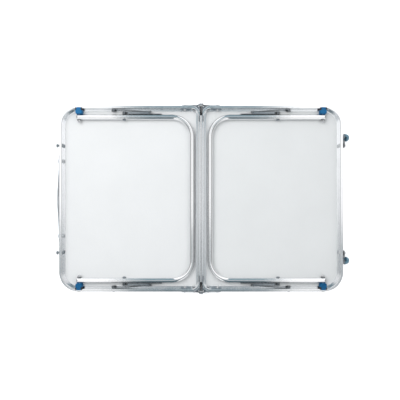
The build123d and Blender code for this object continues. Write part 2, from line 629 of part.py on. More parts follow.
# ---------------------------------------------------------------- carrying handle
handle_middle_x = -END_X - HANDLE_BOW + HANDLE_THICKNESS / 2
handle_flat_x = -END_X - HANDLE_THICKNESS / 2
flat_start_y = HANDLE_BOLT_Y - 12.0
with BuildPart() as handle_strap:
    with BuildSketch(Plane.XY.offset(LEG_HEIGHT_Z - HANDLE_HEIGHT / 2)):
        with BuildLine() as strap_line:
            Line((handle_flat_x, -HANDLE_END_Y), (handle_flat_x, -flat_start_y))
            Spline((handle_flat_x, -flat_start_y), (handle_middle_x, 0), (handle_flat_x, flat_start_y),
                   tangents=[(0, 1), (0, 1)])
            Line((handle_flat_x, flat_start_y), (handle_flat_x, HANDLE_END_Y))
        trace(strap_line.line, HANDLE_THICKNESS)
    extrude(amount=HANDLE_HEIGHT)
    with BuildSketch(along(-END_X - 2 * HANDLE_BOW, 0, LEG_HEIGHT_Z)) as strap_side:
        SlotOverall(2 * HANDLE_END_Y, HANDLE_HEIGHT)
        with Locations((-HANDLE_BOLT_Y, 0), (HANDLE_BOLT_Y, 0)):
            SlotOverall(26.0, LINK_PIN_DIAMETER + 0.6, mode=Mode.SUBTRACT)
    extrude(amount=3 * HANDLE_BOW, mode=Mode.INTERSECT)

handle_head_x = -END_X - HANDLE_THICKNESS - 0.1
with BuildPart() as handle_bolts:
    for bolt_y in (-HANDLE_BOLT_Y, HANDLE_BOLT_Y):
        with Locations(along(handle_head_x, bolt_y, LEG_HEIGHT_Z)):
            add(headed_pin(LINK_PIN_DIAMETER, -BEAD_INNER_X - handle_head_x, 17.0, 5.0, 16.0, 4.5))
hand_in(handle_strap.part, "handle_strap")
hand_in(handle_bolts.part, "handle_bolts")

# ---------------------------------------------------------------- latch studs
STUD_NECK = 7.5
STUD_HEAD_HEIGHT = 6.5
with BuildPart() as latch_studs:
    for stud_y in (LATCH_FRONT_Y, LATCH_REAR_Y):
        with Locations(along(-END_X - STUD_NECK, stud_y, LEG_HEIGHT_Z)):
            add(headed_pin(LINK_PIN_DIAMETER, STUD_NECK + BEAD_WIDTH, STUD_HEAD_DIAMETER,
                           STUD_HEAD_HEIGHT, 16.0, 4.0))
            Cylinder(4.5, STUD_NECK, align=(Align.CENTER, Align.CENTER, Align.MIN))
hand_in(latch_studs.part, "latch_studs")

# ---------------------------------------------------------------- latches
PLATE_THICKNESS = 1.8
HOOK_DISTANCE = 2 * (HINGE_AXIS_Z - LEG_HEIGHT_Z)      # from a latch pivot to its stud when shut
HOOK_WIDTH = 10.0
plate_x = END_X + LATCH_PLATE_OFFSET
knob_x = plate_x + PLATE_THICKNESS
bolt_head_x = knob_x + FACE_GAP

# lever for the rear latch: it points outwards along +Y, and hooks over the stud by turning up
with BuildPart() as latch_lever:
    with BuildSketch(along(plate_x, 0, LEG_HEIGHT_Z)) as lever_outline:
        Circle(10.0)
        with Locations((LATCH_KNOB_OFFSET, 0)):
            Circle(12.0)
        make_hull()
        with Locations((LATCH_LENGTH / 2, 0)):
            SlotOverall(LATCH_LENGTH, 12.0)
        Circle(LINK_PIN_DIAMETER / 2 + RUNNING_CLEARANCE, mode=Mode.SUBTRACT)
        # hook: a slot that opens towards the side the lever swings to
        with Locations((HOOK_DISTANCE, 10.0)):
            Rectangle(HOOK_WIDTH, 20.0, mode=Mode.SUBTRACT)
        with Locations((HOOK_DISTANCE, 0)):
            Circle(HOOK_WIDTH / 2, mode=Mode.SUBTRACT)
    extrude(amount=PLATE_THICKNESS)

# grip knob: a moulded dome over the hook, with a pocket for the stud's head
with BuildPart() as latch_knob:
    knob_radius = KNOB_DIAMETER / 2
    with BuildSketch(Plane.XZ):
        with BuildLine():
            Line((0, 0), (knob_radius, 0))
            Line((knob_radius, 0), (knob_radius, 3.0))
            Spline((knob_radius, 3.0), (knob_radius * 0.72, KNOB_DEPTH * 0.76), (0, KNOB_DEPTH),
                   tangents=[(0, 1), (-1, 0)])
            Line((0, KNOB_DEPTH), (0, 0))
        make_face()
    revolve(axis=Axis.Z)
    pocket_centre = HOOK_DISTANCE - LATCH_KNOB_OFFSET
    pocket_width = STUD_HEAD_DIAMETER + 2.0
    with BuildSketch(Plane.XY) as pocket:
        with Locations((pocket_centre, 0)):
            Circle(pocket_width / 2)
        with Locations((pocket_centre, 15.0)):
            Rectangle(pocket_width, 30.0)
    extrude(amount=STUD_HEAD_HEIGHT + 1.5, mode=Mode.SUBTRACT)

LATCHES = (("rear", LATCH_REAR_Y, 1), ("front", LATCH_FRONT_Y, -1))
for latch_name, latch_y, end in LATCHES:
    lever = turned(latch_lever.part, end).moved(Pos(0, latch_y, 0))
    knob_plane = along(knob_x, LATCH_KNOB_OFFSET, LEG_HEIGHT_Z)
    knob = turned(knob_plane.from_local_coords(latch_knob.part), end).moved(Pos(0, latch_y, 0))
    hand_in(lever, f"latch_lever_{latch_name}")
    hand_in(knob, f"latch_knob_{latch_name}")

with BuildPart() as latch_bushes:
    for latch_y in (LATCH_FRONT_Y, LATCH_REAR_Y):
        with BuildSketch(along(END_X, latch_y, LEG_HEIGHT_Z)):
            Circle(10.0)
            Circle(LINK_PIN_DIAMETER / 2, mode=Mode.SUBTRACT)
        extrude(amount=LATCH_PLATE_OFFSET - FACE_GAP)

with BuildPart() as latch_bolts:
    for latch_y in (LATCH_FRONT_Y, LATCH_REAR_Y):
        with Locations(along(bolt_head_x, latch_y, LEG_HEIGHT_Z, -1)):
            add(headed_pin(LINK_PIN_DIAMETER, bolt_head_x - BEAD_INNER_X, 17.0, 5.0, 16.0, 4.0))
hand_in(latch_bushes.part, "latch_bushes")
hand_in(latch_bolts.part, "latch_bolts")
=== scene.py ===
import math

import bmesh
import bpy
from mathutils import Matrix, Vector


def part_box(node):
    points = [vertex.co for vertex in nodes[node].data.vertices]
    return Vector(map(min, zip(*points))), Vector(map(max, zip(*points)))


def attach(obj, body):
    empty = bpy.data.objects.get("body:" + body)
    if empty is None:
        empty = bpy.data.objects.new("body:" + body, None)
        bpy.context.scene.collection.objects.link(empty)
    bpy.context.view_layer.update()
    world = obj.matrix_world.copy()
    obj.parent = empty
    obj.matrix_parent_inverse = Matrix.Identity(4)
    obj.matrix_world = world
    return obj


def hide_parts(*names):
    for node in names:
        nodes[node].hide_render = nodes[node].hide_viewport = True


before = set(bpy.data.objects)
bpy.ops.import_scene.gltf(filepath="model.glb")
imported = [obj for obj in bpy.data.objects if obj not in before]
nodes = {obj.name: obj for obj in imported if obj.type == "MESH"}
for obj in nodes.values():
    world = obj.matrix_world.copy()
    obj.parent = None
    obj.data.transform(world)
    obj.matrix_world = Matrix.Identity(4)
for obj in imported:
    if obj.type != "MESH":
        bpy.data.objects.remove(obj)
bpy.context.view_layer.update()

SIDES = (("left", -1), ("right", 1))
ENDS = (("front", -1), ("rear", 1))

# sizes shared with the CAD model, in metres
HALF_LENGTH = 0.6
HALF_WIDTH = 0.393
SEAM_EDGE = 0.0003               # from the fold line to the edge of a half
OUTER_CORNER = 0.082
SEAM_CORNER = 0.042
PIVOT_X = 0.517
BRACE_X = 0.371
FAR_RIVET_X = 0.069
NEAR_RIVET_X = 0.030
LEG_Y = 0.346
FOOT_X = 0.038
LEG_BEND = 0.085
BOLT_Z = 0.0175
HINGE_Z = 0.0304


# ---------------------------------------------------------------- material tools
class NodeTree:
    """Adds nodes to a tree. Every method that makes a value returns its output socket."""

    def __init__(self, tree):
        self.tree = tree

    def add(self, kind, **settings):
        node = self.tree.nodes.new(kind)
        for key, value in settings.items():
            setattr(node, key, value)
        return node

    def feed(self, socket, value):
        if isinstance(value, bpy.types.NodeSocket):
            self.tree.links.new(value, socket)
        else:
            socket.default_value = value

    def math(self, operation, *values):
        node = self.add("ShaderNodeMath", operation=operation)
        for socket, value in zip(node.inputs, values):
            self.feed(socket, value)
        return node.outputs[0]

    def vector(self, operation, *values):
        node = self.add("ShaderNodeVectorMath", operation=operation)
        for socket, value in zip(node.inputs, values):
            self.feed(socket, value)
        return node.outputs[0]

    def split(self, vector):
        node = self.add("ShaderNodeSeparateXYZ")
        self.feed(node.inputs[0], vector)
        return node.outputs

    def join(self, x, y, z):
        node = self.add("ShaderNodeCombineXYZ")
        for socket, value in zip(node.inputs, (x, y, z)):
            self.feed(socket, value)
        return node.outputs[0]

    def noise(self, vector, scale, detail=4.0, rough=0.55, distortion=0.0):
        node = self.add("ShaderNodeTexNoise")
        self.feed(node.inputs["Vector"], vector)
        node.inputs["Scale"].default_value = scale
        node.inputs["Detail"].default_value = detail
        node.inputs["Roughness"].default_value = rough
        node.inputs["Distortion"].default_value = distortion
        return node.outputs["Fac"]

    def cells(self, vector, scale):
        node = self.add("ShaderNodeTexVoronoi", feature="F1")
        self.feed(node.inputs["Vector"], vector)
        node.inputs["Scale"].default_value = scale
        return node.outputs["Distance"]

    def span(self, value, low, high, out_low=0.0, out_high=1.0):
        """Maps low..high to out_low..out_high, clamped."""
        node = self.add("ShaderNodeMapRange")
        for socket, number in zip(node.inputs, (value, low, high, out_low, out_high)):
            self.feed(socket, number)
        return node.outputs[0]

    def blend(self, amount, first, second, mode="MIX"):
        node = self.add("ShaderNodeMix", data_type="RGBA", blend_type=mode)
        self.feed(node.inputs[0], amount)
        self.feed(node.inputs[6], first)
        self.feed(node.inputs[7], second)
        return node.outputs[2]

    def bump(self, height, distance, strength=1.0, under=None):
        node = self.add("ShaderNodeBump")
        self.feed(node.inputs["Height"], height)
        node.inputs["Distance"].default_value = distance
        node.inputs["Strength"].default_value = strength
        if under is not None:
            self.feed(node.inputs["Normal"], under)
        return node.outputs[0]


class Shader(NodeTree):
    """One procedural material, worked out from the point on the object."""

    def __init__(self, name):
        self.material = bpy.data.materials.new(name)
        self.material.use_nodes = True
        super().__init__(self.material.node_tree)
        self.surface = self.tree.nodes["Principled BSDF"]
        self.point = self.add("ShaderNodeTexCoord").outputs["Object"]

    def set(self, **values):
        """Sets or links the shader's own inputs, by their names with _ for a space."""
        for key, value in values.items():
            self.feed(self.surface.inputs[key.replace("_", " ")], value)

    def scaled(self, factors):
        return self.vector("MULTIPLY", self.point, factors)

    def edges(self, width):
        """1 near the mesh's convex edges, 0 elsewhere."""
        node = self.add("ShaderNodeNewGeometry")
        return self.span(node.outputs["Pointiness"], 0.5 + width, 0.5 + 4 * width)

    def outline(self, low, high, radius):
        """Signed distance in plan from a rounded rectangle, negative inside: it follows the bends."""
        centre = tuple((a + b) / 2 for a, b in zip(low, high)) + (0.0,)
        reach = tuple((b - a) / 2 - radius for a, b in zip(low, high)) + (0.0,)
        offset = self.vector("ABSOLUTE", self.vector("SUBTRACT", self.point, centre))
        x, y, _ = self.split(self.vector("SUBTRACT", offset, reach))
        beyond = self.join(self.math("MAXIMUM", x, 0.0), self.math("MAXIMUM", y, 0.0), 0.0)
        length = self.add("ShaderNodeVectorMath", operation="LENGTH")
        self.feed(length.inputs[0], beyond)
        inside = self.math("MINIMUM", self.math("MAXIMUM", x, y), 0.0)
        total = self.math("ADD", length.outputs["Value"], inside)
        return self.math("SUBTRACT", total, radius)


def rgb(red, green, blue):
    return (red, green, blue, 1.0)


def times(colour, factor):
    """The colour made lighter or darker by a factor."""
    return rgb(*(channel * factor for channel in colour[:3]))


def drawn_metal(name, low, high, radius, colour, rough, grime=0.04, front=1.0, rear=1.0):
    """Bright aluminium with draw lines that run along a frame or tube and round its bends.

    The low ledge is satin and painted a little darker as shade, and front and rear scale the tone towards the
    two long sides as painted shade and painted light.
    """
    s = Shader(name)
    across_rail = s.outline(low, high, radius)
    _, depth, height = s.split(s.point)
    section = s.join(across_rail, 0.0, height)
    fine = s.noise(section, 2600, 3, 0.6)
    broad = s.noise(section, 420, 3, 0.5)
    wander = s.noise(s.point, 14, 4, 0.5)
    smudge = s.noise(s.point, 26, 5, 0.62, 0.6)
    lines = s.math("ADD", s.math("MULTIPLY", fine, 0.6), s.math("MULTIPLY", broad, 0.4))
    tone = s.span(lines, 0.3, 0.7, 0.96, 1.0)
    dark = times(colour, 0.80)
    base = s.blend(s.span(smudge, 0.52, 0.75, 0.0, grime), colour, dark)
    base = s.blend(1.0, base, s.join(tone, tone, tone), "MULTIPLY")
    # painted shade: the low ledge is made 4% darker, for the shade that lies on it beside the bead
    ledge_painted_shade = s.span(height, 0.0066, 0.0100, 0.96, 1.0)
    satin = s.span(height, 0.0066, 0.0100, 0.07, 0.0)
    base = s.blend(1.0, base, s.join(ledge_painted_shade, ledge_painted_shade, ledge_painted_shade), "MULTIPLY")
    # painted light and shade: the tone scales from front at the front side to rear at the rear side, as the
    # light falls
    shade = s.span(depth, -0.35, 0.35, front, rear)
    base = s.blend(1.0, base, s.join(shade, shade, shade), "MULTIPLY")
    marks = s.span(wander, 0.35, 0.7, -0.01, 0.02)
    glaze = s.span(smudge, 0.35, 0.75, -0.01, 0.025)
    roughness = s.math("ADD", s.math("ADD", s.math("ADD", marks, rough), glaze), satin)
    s.set(Base_Color=base, Metallic=1.0, Roughness=roughness, Anisotropic=0.35)
    s.set(Normal=s.bump(lines, 0.00002, 0.4))
    return s.material


def plated_steel(name, colour, rough, wear=0.5):
    """Zinc-plated steel: a fine crystalline mottle, turning marks and brighter rubbed edges."""
    s = Shader(name)
    crystal = s.cells(s.point, 900)
    cloud = s.noise(s.point, 160, 4, 0.6)
    base = s.blend(s.span(cloud, 0.35, 0.68), colour, times(colour, 0.78))
    base = s.blend(s.span(crystal, 0.1, 0.7, 0.0, 0.18), base, rgb(0.3, 0.32, 0.34))
    rub = s.math("MULTIPLY", s.edges(0.015), wear)
    base = s.blend(rub, base, rgb(0.86, 0.87, 0.88))
    roughness = s.math("ADD", s.span(cloud, 0.3, 0.75, -0.06, 0.12), rough)
    s.set(Base_Color=base, Metallic=1.0, Roughness=roughness)
    s.set(Normal=s.bump(cloud, 0.00006, 0.5, s.bump(crystal, 0.00002, 0.35)))
    return s.material


def pressed_steel(name, colour, rough):
    """Zinc-plated sheet with rolling streaks along its length, scratches and dull patches."""
    s = Shader(name)
    streaks = s.noise(s.scaled((6, 60, 60)), 22, 5, 0.6)
    cloud = s.noise(s.point, 70, 5, 0.6)
    scratch = s.noise(s.scaled((18, 190, 160)), 9, 2, 0.4, 1.2)
    worn = s.span(scratch, 0.63, 0.68)
    base = s.blend(s.span(cloud, 0.35, 0.7), colour, times(colour, 0.72))
    base = s.blend(s.span(streaks, 0.4, 0.7, 0.0, 0.35), base, times(colour, 0.62))
    base = s.blend(s.math("MULTIPLY", worn, 0.16), base, rgb(0.85, 0.86, 0.87))
    base = s.blend(s.math("MULTIPLY", s.edges(0.02), 0.22), base, rgb(0.8, 0.82, 0.84))
    roughness = s.math("ADD", s.span(streaks, 0.3, 0.75, -0.07, 0.13), rough)
    s.set(Base_Color=base, Metallic=1.0, Roughness=roughness)
    s.set(Normal=s.bump(streaks, 0.00005, 0.5, s.bump(worn, 0.00003, -0.4)))
    return s.material


def backing_angle(name, upright_shade, foot):
    """Steel angle: the upright flange is painted dark as shade, and the foot on the ledge is left bright."""
    s = Shader(name)
    _, _, height = s.split(s.point)
    grain = s.noise(s.scaled((8, 60, 60)), 20, 5, 0.6)
    cloud = s.noise(s.point, 90, 4, 0.6)
    edge = s.span(s.math("ADD", height, s.math("MULTIPLY", cloud, 0.0012)), 0.0089, 0.0094)
    base = s.blend(edge, foot, upright_shade)
    base = s.blend(s.span(grain, 0.4, 0.7, 0.0, 0.25), base, times(upright_shade, 0.7))
    base = s.blend(s.math("MULTIPLY", s.edges(0.02), 0.4), base, rgb(0.7, 0.72, 0.74))
    s.set(Base_Color=base, Metallic=1.0, Roughness=s.span(grain, 0.3, 0.7, 0.28, 0.42))
    s.set(Normal=s.bump(grain, 0.00005, 0.5))
    return s.material


def moulded(name, colour, rough, grain=1500, depth=0.00005, sheen=0.5):
    """Moulded plastic: a spark-eroded grain, slight flow marks and rubbed lighter edges."""
    s = Shader(name)
    pits = s.noise(s.point, grain, 3, 0.65)
    flow = s.noise(s.scaled((1, 1, 2.2)), 46, 4, 0.55, 0.8)
    lighter = rgb(*(min(1.0, channel * 1.35 + 0.02) for channel in colour[:3]))
    base = s.blend(s.span(flow, 0.35, 0.7), colour, times(colour, 0.78))
    base = s.blend(s.span(pits, 0.5, 0.75, 0.0, 0.12), base, lighter)
    base = s.blend(s.math("MULTIPLY", s.edges(0.02), 0.4), base, lighter)
    roughness = s.math("ADD", s.span(flow, 0.3, 0.75, -0.06, 0.1), rough)
    s.set(Base_Color=base, Roughness=roughness, Specular_IOR_Level=sheen)
    s.set(Normal=s.bump(pits, depth, 0.6, s.bump(flow, 0.0002, 0.25)))
    return s.material


def laminate(name, shade):
    """White laminate on thin board: a fine paper grain, a faint stipple and old wipe marks."""
    s = Shader(name)
    stipple = s.noise(s.point, 1900, 3, 0.6)
    fibre = s.noise(s.scaled((1.0, 0.16, 1.0)), 520, 4, 0.6)
    cloud = s.noise(s.point, 6.5, 4, 0.5)
    wipe = s.noise(s.scaled((1.0, 0.35, 1.0)), 30, 5, 0.6, 0.5)
    base = s.blend(s.span(cloud, 0.3, 0.7), shade, times(shade, 0.97))
    base = s.blend(s.span(fibre, 0.45, 0.75, 0.0, 0.35), base, times(shade, 0.93))
    base = s.blend(s.span(stipple, 0.55, 0.75, 0.0, 0.25), base, times(shade, 1.05))
    roughness = s.math("ADD", s.span(wipe, 0.35, 0.7, -0.06, 0.08), 0.46)
    s.set(Base_Color=base, Roughness=roughness, Specular_IOR_Level=0.45)
    s.set(Normal=s.bump(stipple, 0.00003, 0.5, s.bump(fibre, 0.00004, 0.4)))
    return s.material


def paint(node, material):
    """Gives a CAD node its material."""
    mesh = nodes[node].data
    mesh.materials.clear()
    mesh.materials.append(material)


def smooth(mesh):
    """Shades a mesh smooth, apart from its corners."""
    for polygon in mesh.polygons:
        polygon.use_smooth = True
    mesh.set_sharp_from_angle(angle=math.radians(28))


# ---------------------------------------------------------------- materials on the CAD nodes
ALUMINIUM = rgb(0.86, 0.87, 0.885)
TUBE = rgb(0.90, 0.905, 0.915)
half_low = {"left": (-HALF_LENGTH, -HALF_WIDTH), "right": (SEAM_EDGE, -HALF_WIDTH)}
half_high = {"left": (-SEAM_EDGE, HALF_WIDTH), "right": (HALF_LENGTH, HALF_WIDTH)}

for side, sign in SIDES:
    low, high = half_low[side], half_high[side]
    # front=0.92 darkens the outer rails towards the front side and rear=1.08 brightens them towards the rear:
    # painted shade and painted light
    outer = drawn_metal(f"outer_rail_{side}", low, high, OUTER_CORNER, ALUMINIUM, 0.12, front=0.92, rear=1.08)
    paint(f"outer_rail_{side}", outer)
    paint(f"seam_rail_{side}", drawn_metal(f"seam_rail_{side}", low, high, SEAM_CORNER, ALUMINIUM, 0.12))
    reach = sorted((sign * FOOT_X, sign * 2 * HALF_LENGTH))
    tube = drawn_metal(f"leg_tube_{side}", (reach[0], -LEG_Y), (reach[1], LEG_Y), LEG_BEND, TUBE, 0.10,
                       grime=0.05)
    paint(f"leg_tube_{side}", tube)

# painted shade: the right panel's white is a little darker than the left's, for the light falling off to the
# right
white = {"left": laminate("laminate_left", rgb(0.716, 0.724, 0.730)),
         "right": laminate("laminate_right", rgb(0.690, 0.701, 0.705))}
splice = pressed_steel("mill_aluminium", rgb(0.7, 0.71, 0.72), 0.38)
zinc = plated_steel("zinc_plate", rgb(0.70, 0.72, 0.74), 0.26)
bright_zinc = plated_steel("bright_zinc", rgb(0.78, 0.80, 0.82), 0.2, wear=0.7)
hinge_zinc = pressed_steel("hinge_zinc", rgb(0.34, 0.38, 0.42), 0.26)
# painted shade: the upright flange's dark teal stands for the shade on it; the foot keeps the bright steel
# colour
backer_zinc = backing_angle("backer_zinc", rgb(0.03, 0.11, 0.165), rgb(0.72, 0.74, 0.76))
stud_zinc = plated_steel("stud_zinc", rgb(0.26, 0.30, 0.33), 0.22, wear=0.3)
brace_zinc = pressed_steel("brace_zinc", rgb(0.25, 0.28, 0.31), 0.24)
# painted light and shade: each block's blue is scaled by how much light falls on its corner of the table,
# brightest at the left rear and darkest at the right front, and the sheen level is lowered with it
blue = {}
for place, light_level, sheen_level in (("left_rear", 0.94, 0.20), ("right_rear", 0.76, 0.12), ("left_front", 0.66, 0.08),
                           ("right_front", 0.60, 0.04)):
    lit_blue = rgb(0.012 * light_level, 0.148 * light_level, 0.35 * light_level)
    blue[place] = moulded(f"blue_plastic_{place}", lit_blue, 0.42, sheen=sheen_level)
black = moulded("black_plastic", rgb(0.02, 0.022, 0.026), 0.45)
grey = moulded("grey_plastic", rgb(0.60, 0.64, 0.67), 0.42)
teal = moulded("teal_plastic", rgb(0.13, 0.25, 0.33), 0.34, sheen=0.4)
dark_teal = moulded("dark_teal", rgb(0.05, 0.10, 0.13), 0.4)
soft_black = moulded("black_rubber", rgb(0.012, 0.013, 0.015), 0.55, grain=900)
seal_grey = moulded("seal_grey", rgb(0.66, 0.68, 0.69), 0.5)
grip_grey = moulded("grip_grey", rgb(0.78, 0.81, 0.83), 0.5, grain=1100, depth=0.00009)
dark_steel = pressed_steel("dark_steel", rgb(0.16, 0.18, 0.20), 0.34)
chrome = plated_steel("polished_chrome", rgb(0.86, 0.87, 0.88), 0.07, wear=0.3)
gunmetal = plated_steel("gunmetal", rgb(0.085, 0.10, 0.115), 0.3, wear=0.12)
# painted shade: the bolt heads' driving recesses are coloured near-black for the shade inside them
recess_shade = plated_steel("recess_shade", rgb(0.05, 0.055, 0.06), 0.4)

for side, _ in SIDES:
    paint(f"tabletop_{side}", white[side])
    paint(f"rail_splices_{side}", splice)
    paint(f"pivot_bolts_{side}", zinc)
    paint(f"pivot_washers_{side}", zinc)
    paint(f"pivot_nuts_{side}", bright_zinc)
    paint(f"brace_bolts_{side}", bright_zinc)
    paint(f"brace_nuts_{side}", gunmetal)
    paint(f"hinge_rivets_{side}", zinc)
    paint(f"hinge_backers_{side}", backer_zinc)
    paint(f"leg_bolts_{side}", hinge_zinc)
    paint(f"leg_bushes_{side}", gunmetal)
    paint(f"leg_plugs_{side}", black)
    for end, _ in ENDS:
        paint(f"pivot_block_{side}_{end}", blue[f"{side}_{end}"])
        paint(f"hinge_leaf_{side}_{end}", hinge_zinc)
        paint(f"frame_link_{side}_{end}", brace_zinc)
        paint(f"leg_link_{side}_{end}", brace_zinc)
        paint(f"knee_rivet_{side}_{end}", zinc)
paint("hinge_pins", bright_zinc)
paint("handle_bolts", zinc)
paint("handle_strap", grey)
paint("latch_studs", stud_zinc)
paint("latch_bolts", chrome)
paint("latch_bushes", black)
for end, _ in ENDS:
    paint(f"latch_lever_{end}", dark_steel)
    paint(f"latch_knob_{end}", teal)

for node in nodes.values():
    smooth(node.data)


# ---------------------------------------------------------------- geometry tools for the detail pieces
def lathe(bm, profile, origin, axis, steps):
    """Revolves (radius, distance along axis) points about the axis through origin."""
    origin = Vector(origin)
    axis = Vector(axis).normalized()
    first = axis.orthogonal().normalized()
    second = axis.cross(first)
    turns = [2 * math.pi * step / steps for step in range(steps)]
    spokes = [first * math.cos(turn) + second * math.sin(turn) for turn in turns]
    rings = []
    for radius, distance in profile:
        centre = origin + axis * distance
        if radius < 1e-6:
            rings.append([bm.verts.new(centre)])
        else:
            rings.append([bm.verts.new(centre + spoke * radius) for spoke in spokes])
    for near, far in zip(rings, rings[1:]):
        for step in range(steps):
            following = (step + 1) % steps
            corners = []
            for vert in (near[step % len(near)], near[following % len(near)],
                         far[following % len(far)], far[step % len(far)]):
                if vert not in corners:
                    corners.append(vert)
            bm.faces.new(corners)


def prism(bm, outline, low, high, bevel):
    """A plate with the plan outline between two heights, with rounded edges."""
    under = [bm.verts.new((x, y, low)) for x, y in outline]
    over = [bm.verts.new((x, y, high)) for x, y in outline]
    faces = [bm.faces.new(under[::-1]), bm.faces.new(over)]
    for index in range(len(outline)):
        following = (index + 1) % len(outline)
        faces.append(bm.faces.new((under[index], under[following], over[following], over[index])))
    rims = [edge for face in faces[:2] for edge in face.edges]
    bmesh.ops.bevel(bm, geom=rims, offset=bevel, segments=3, profile=0.5, affect="EDGES")


def sweep(bm, path, section, closed=False):
    """Carries a closed (sideways, up) section along a plan path of (x, y, z) points."""
    rings = []
    count = len(path)
    for index, point in enumerate(path):
        before = path[(index - 1) % count] if closed or index else path[0]
        after = path[(index + 1) % count] if closed or index < count - 1 else path[-1]
        heading = (Vector(after) - Vector(before)).normalized()
        sideways = Vector((heading.y, -heading.x, 0)).normalized()
        outline = section(index) if callable(section) else section
        rings.append([bm.verts.new(Vector(point) + sideways * a + Vector((0, 0, b))) for a, b in outline])
    pairs = list(zip(rings, rings[1:]))
    if closed:
        pairs.append((rings[-1], rings[0]))
    for near, far in pairs:
        for index in range(len(near)):
            following = (index + 1) % len(near)
            bm.faces.new((near[index], near[following], far[following], far[index]))
    if not closed:
        bm.faces.new(rings[0][::-1])
        bm.faces.new(rings[-1])


def piece(name, body, material, build):
    """A new mesh piece that rides on a body."""
    bm = bmesh.new()
    build(bm)
    bmesh.ops.recalc_face_normals(bm, faces=bm.faces)
    mesh = bpy.data.meshes.new(name)
    bm.to_mesh(mesh)
    bm.free()
    mesh.materials.append(material)
    smooth(mesh)
    made = bpy.data.objects.new(name, mesh)
    bpy.context.scene.collection.objects.link(made)
    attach(made, body)
    return made


def rounded(width, height, radius, steps=5):
    """Outline points of a rounded rectangle about the origin."""
    points = []
    for turn, (a, b) in enumerate(((1, 1), (-1, 1), (-1, -1), (1, -1))):
        for step in range(steps + 1):
            angle = math.pi / 2 * (turn + step / steps)
            points.append((a * (width / 2 - radius) + radius * math.cos(angle),
                           b * (height / 2 - radius) + radius * math.sin(angle)))
    return points


def rail_line(sign, inset, z, seam_corner):
    """Plan points of a closed line drawn in from the edge of a half by inset."""
    near, far = SEAM_EDGE + inset, HALF_LENGTH - inset
    edge = HALF_WIDTH - inset
    corner = OUTER_CORNER - inset
    points = []
    for x, y, radius, start in ((far, edge, corner, 0), (near, edge, seam_corner, 1),
                                (near, -edge, seam_corner, 2), (far, -edge, corner, 3)):
        centre_x = x - radius if x == far else x + radius
        centre_y = y - radius if y > 0 else y + radius
        for step in range(13):
            angle = math.pi / 2 * (start + step / 12)
            across = centre_x + radius * math.cos(angle)
            points.append((sign * across, centre_y + radius * math.sin(angle), z))
    return points


# ---------------------------------------------------------------- pivot blocks
def block_ribs(sign, end):
    """Three raised ribs on top of a block."""
    def build(bm):
        for step in (-1, 0, 1):
            x = sign * (PIVOT_X + step * 0.0068)
            outline = [(x + a, end * (0.3685 + b)) for a, b in rounded(0.0026, 0.0150, 0.0012)]
            prism(bm, outline, 0.0285, 0.0301, 0.0006)
    return build


def block_pads(sign, end):
    """Black buffers in the two rail-side corners of a block, each hooked over the rail's edge."""
    def build(bm):
        for step, length, depth in ((-1, 0.0058, 0.0080), (1, 0.0046, 0.0048)):
            x = sign * (PIVOT_X + step * (0.0150 - length / 2))
            outline = [(x + a, end * (0.3815 - depth / 2 + b)) for a, b in rounded(length, depth, 0.0009)]
            prism(bm, outline, 0.0180, 0.0298, 0.0007)
            outline = [(x + a, end * (0.3826 + b)) for a, b in rounded(length, 0.0058, 0.0009)]
            prism(bm, outline, 0.0285, 0.0303, 0.0002)
    return build


def block_lip(sign, end):
    """Thin tongue that hooks a block over the rail's edge."""
    def build(bm):
        outline = [(sign * PIVOT_X + a, end * (0.3829 + b)) for a, b in rounded(0.0190, 0.0064, 0.0012)]
        prism(bm, outline, 0.0283, 0.03033, 0.0002)
    return build


def acorn_nuts(sign):
    """Hexagonal base, groove and polished dome on each pivot bolt, inside the leg."""
    def build(bm):
        for _, end in ENDS:
            origin = (sign * PIVOT_X, end * 0.3332, BOLT_Z)
            lathe(bm, [(0.0, 0.0), (0.0081, 0.0), (0.0081, 0.0008), (0.0076, 0.0012)], origin, (0, -end, 0), 40)
            lathe(bm, [(0.0071, 0.0010), (0.0075, 0.0016), (0.0075, 0.0036), (0.0068, 0.0042)], origin,
                  (0, -end, 0), 6)
            dome = [(0.0066 * math.cos(a), 0.0046 + 0.0066 * math.sin(a))
                    for a in (math.pi / 2 * step / 12 for step in range(13))]
            lathe(bm, [(0.0062, 0.0040)] + dome[:-1] + [(0.0, dome[-1][1])], origin, (0, -end, 0), 40)
    return build


def nut_collars(sign):
    """Black nylon ring under each acorn nut."""
    def build(bm):
        for _, end in ENDS:
            ring = [(0.0078, 0.0), (0.0088, 0.0002), (0.0091, 0.0009), (0.0088, 0.0016), (0.0078, 0.0018)]
            lathe(bm, ring, (sign * PIVOT_X, end * 0.3337, BOLT_Z), (0, -end, 0), 40)
    return build


# ---------------------------------------------------------------- centre hinges
def hinge_barrel(end):
    """Bush on the hinge pin, with a rolled lip and a domed inner end."""
    def build(bm):
        profile = [(0.0, 0.0), (0.0082, 0.0), (0.0090, 0.0006), (0.0090, 0.0018), (0.0082, 0.0024),
                   (0.0082, 0.0034), (0.0074, 0.0047), (0.0050, 0.0058), (0.0026, 0.0062), (0.0, 0.0063)]
        lathe(bm, profile, (0, end * 0.3928, HINGE_Z), (0, -end, 0), 40)
    return build


def bead_edge(top, bottom, steps):
    """Plan points down the rounded outer corner of the seam rail's bead, in the right rear quarter."""
    centre_x, centre_y, radius = 0.0423, 0.351, 0.0421
    heights = [top + (bottom - top) * step / steps for step in range(steps + 1)]
    return [(centre_x - math.sqrt(radius ** 2 - (y - centre_y) ** 2), y) for y in heights]


def hinge_wedge(sign, end):
    """Dark moulding that fills the gap between the rounded ends of the seam rails."""
    def build(bm):
        outline = [(0.0006, 0.3560), (0.0006, 0.3905)] + bead_edge(0.3905, 0.3560, 14)
        prism(bm, [(sign * x, end * y) for x, y in outline], 0.0060, 0.0175, 0.0008)
    return build


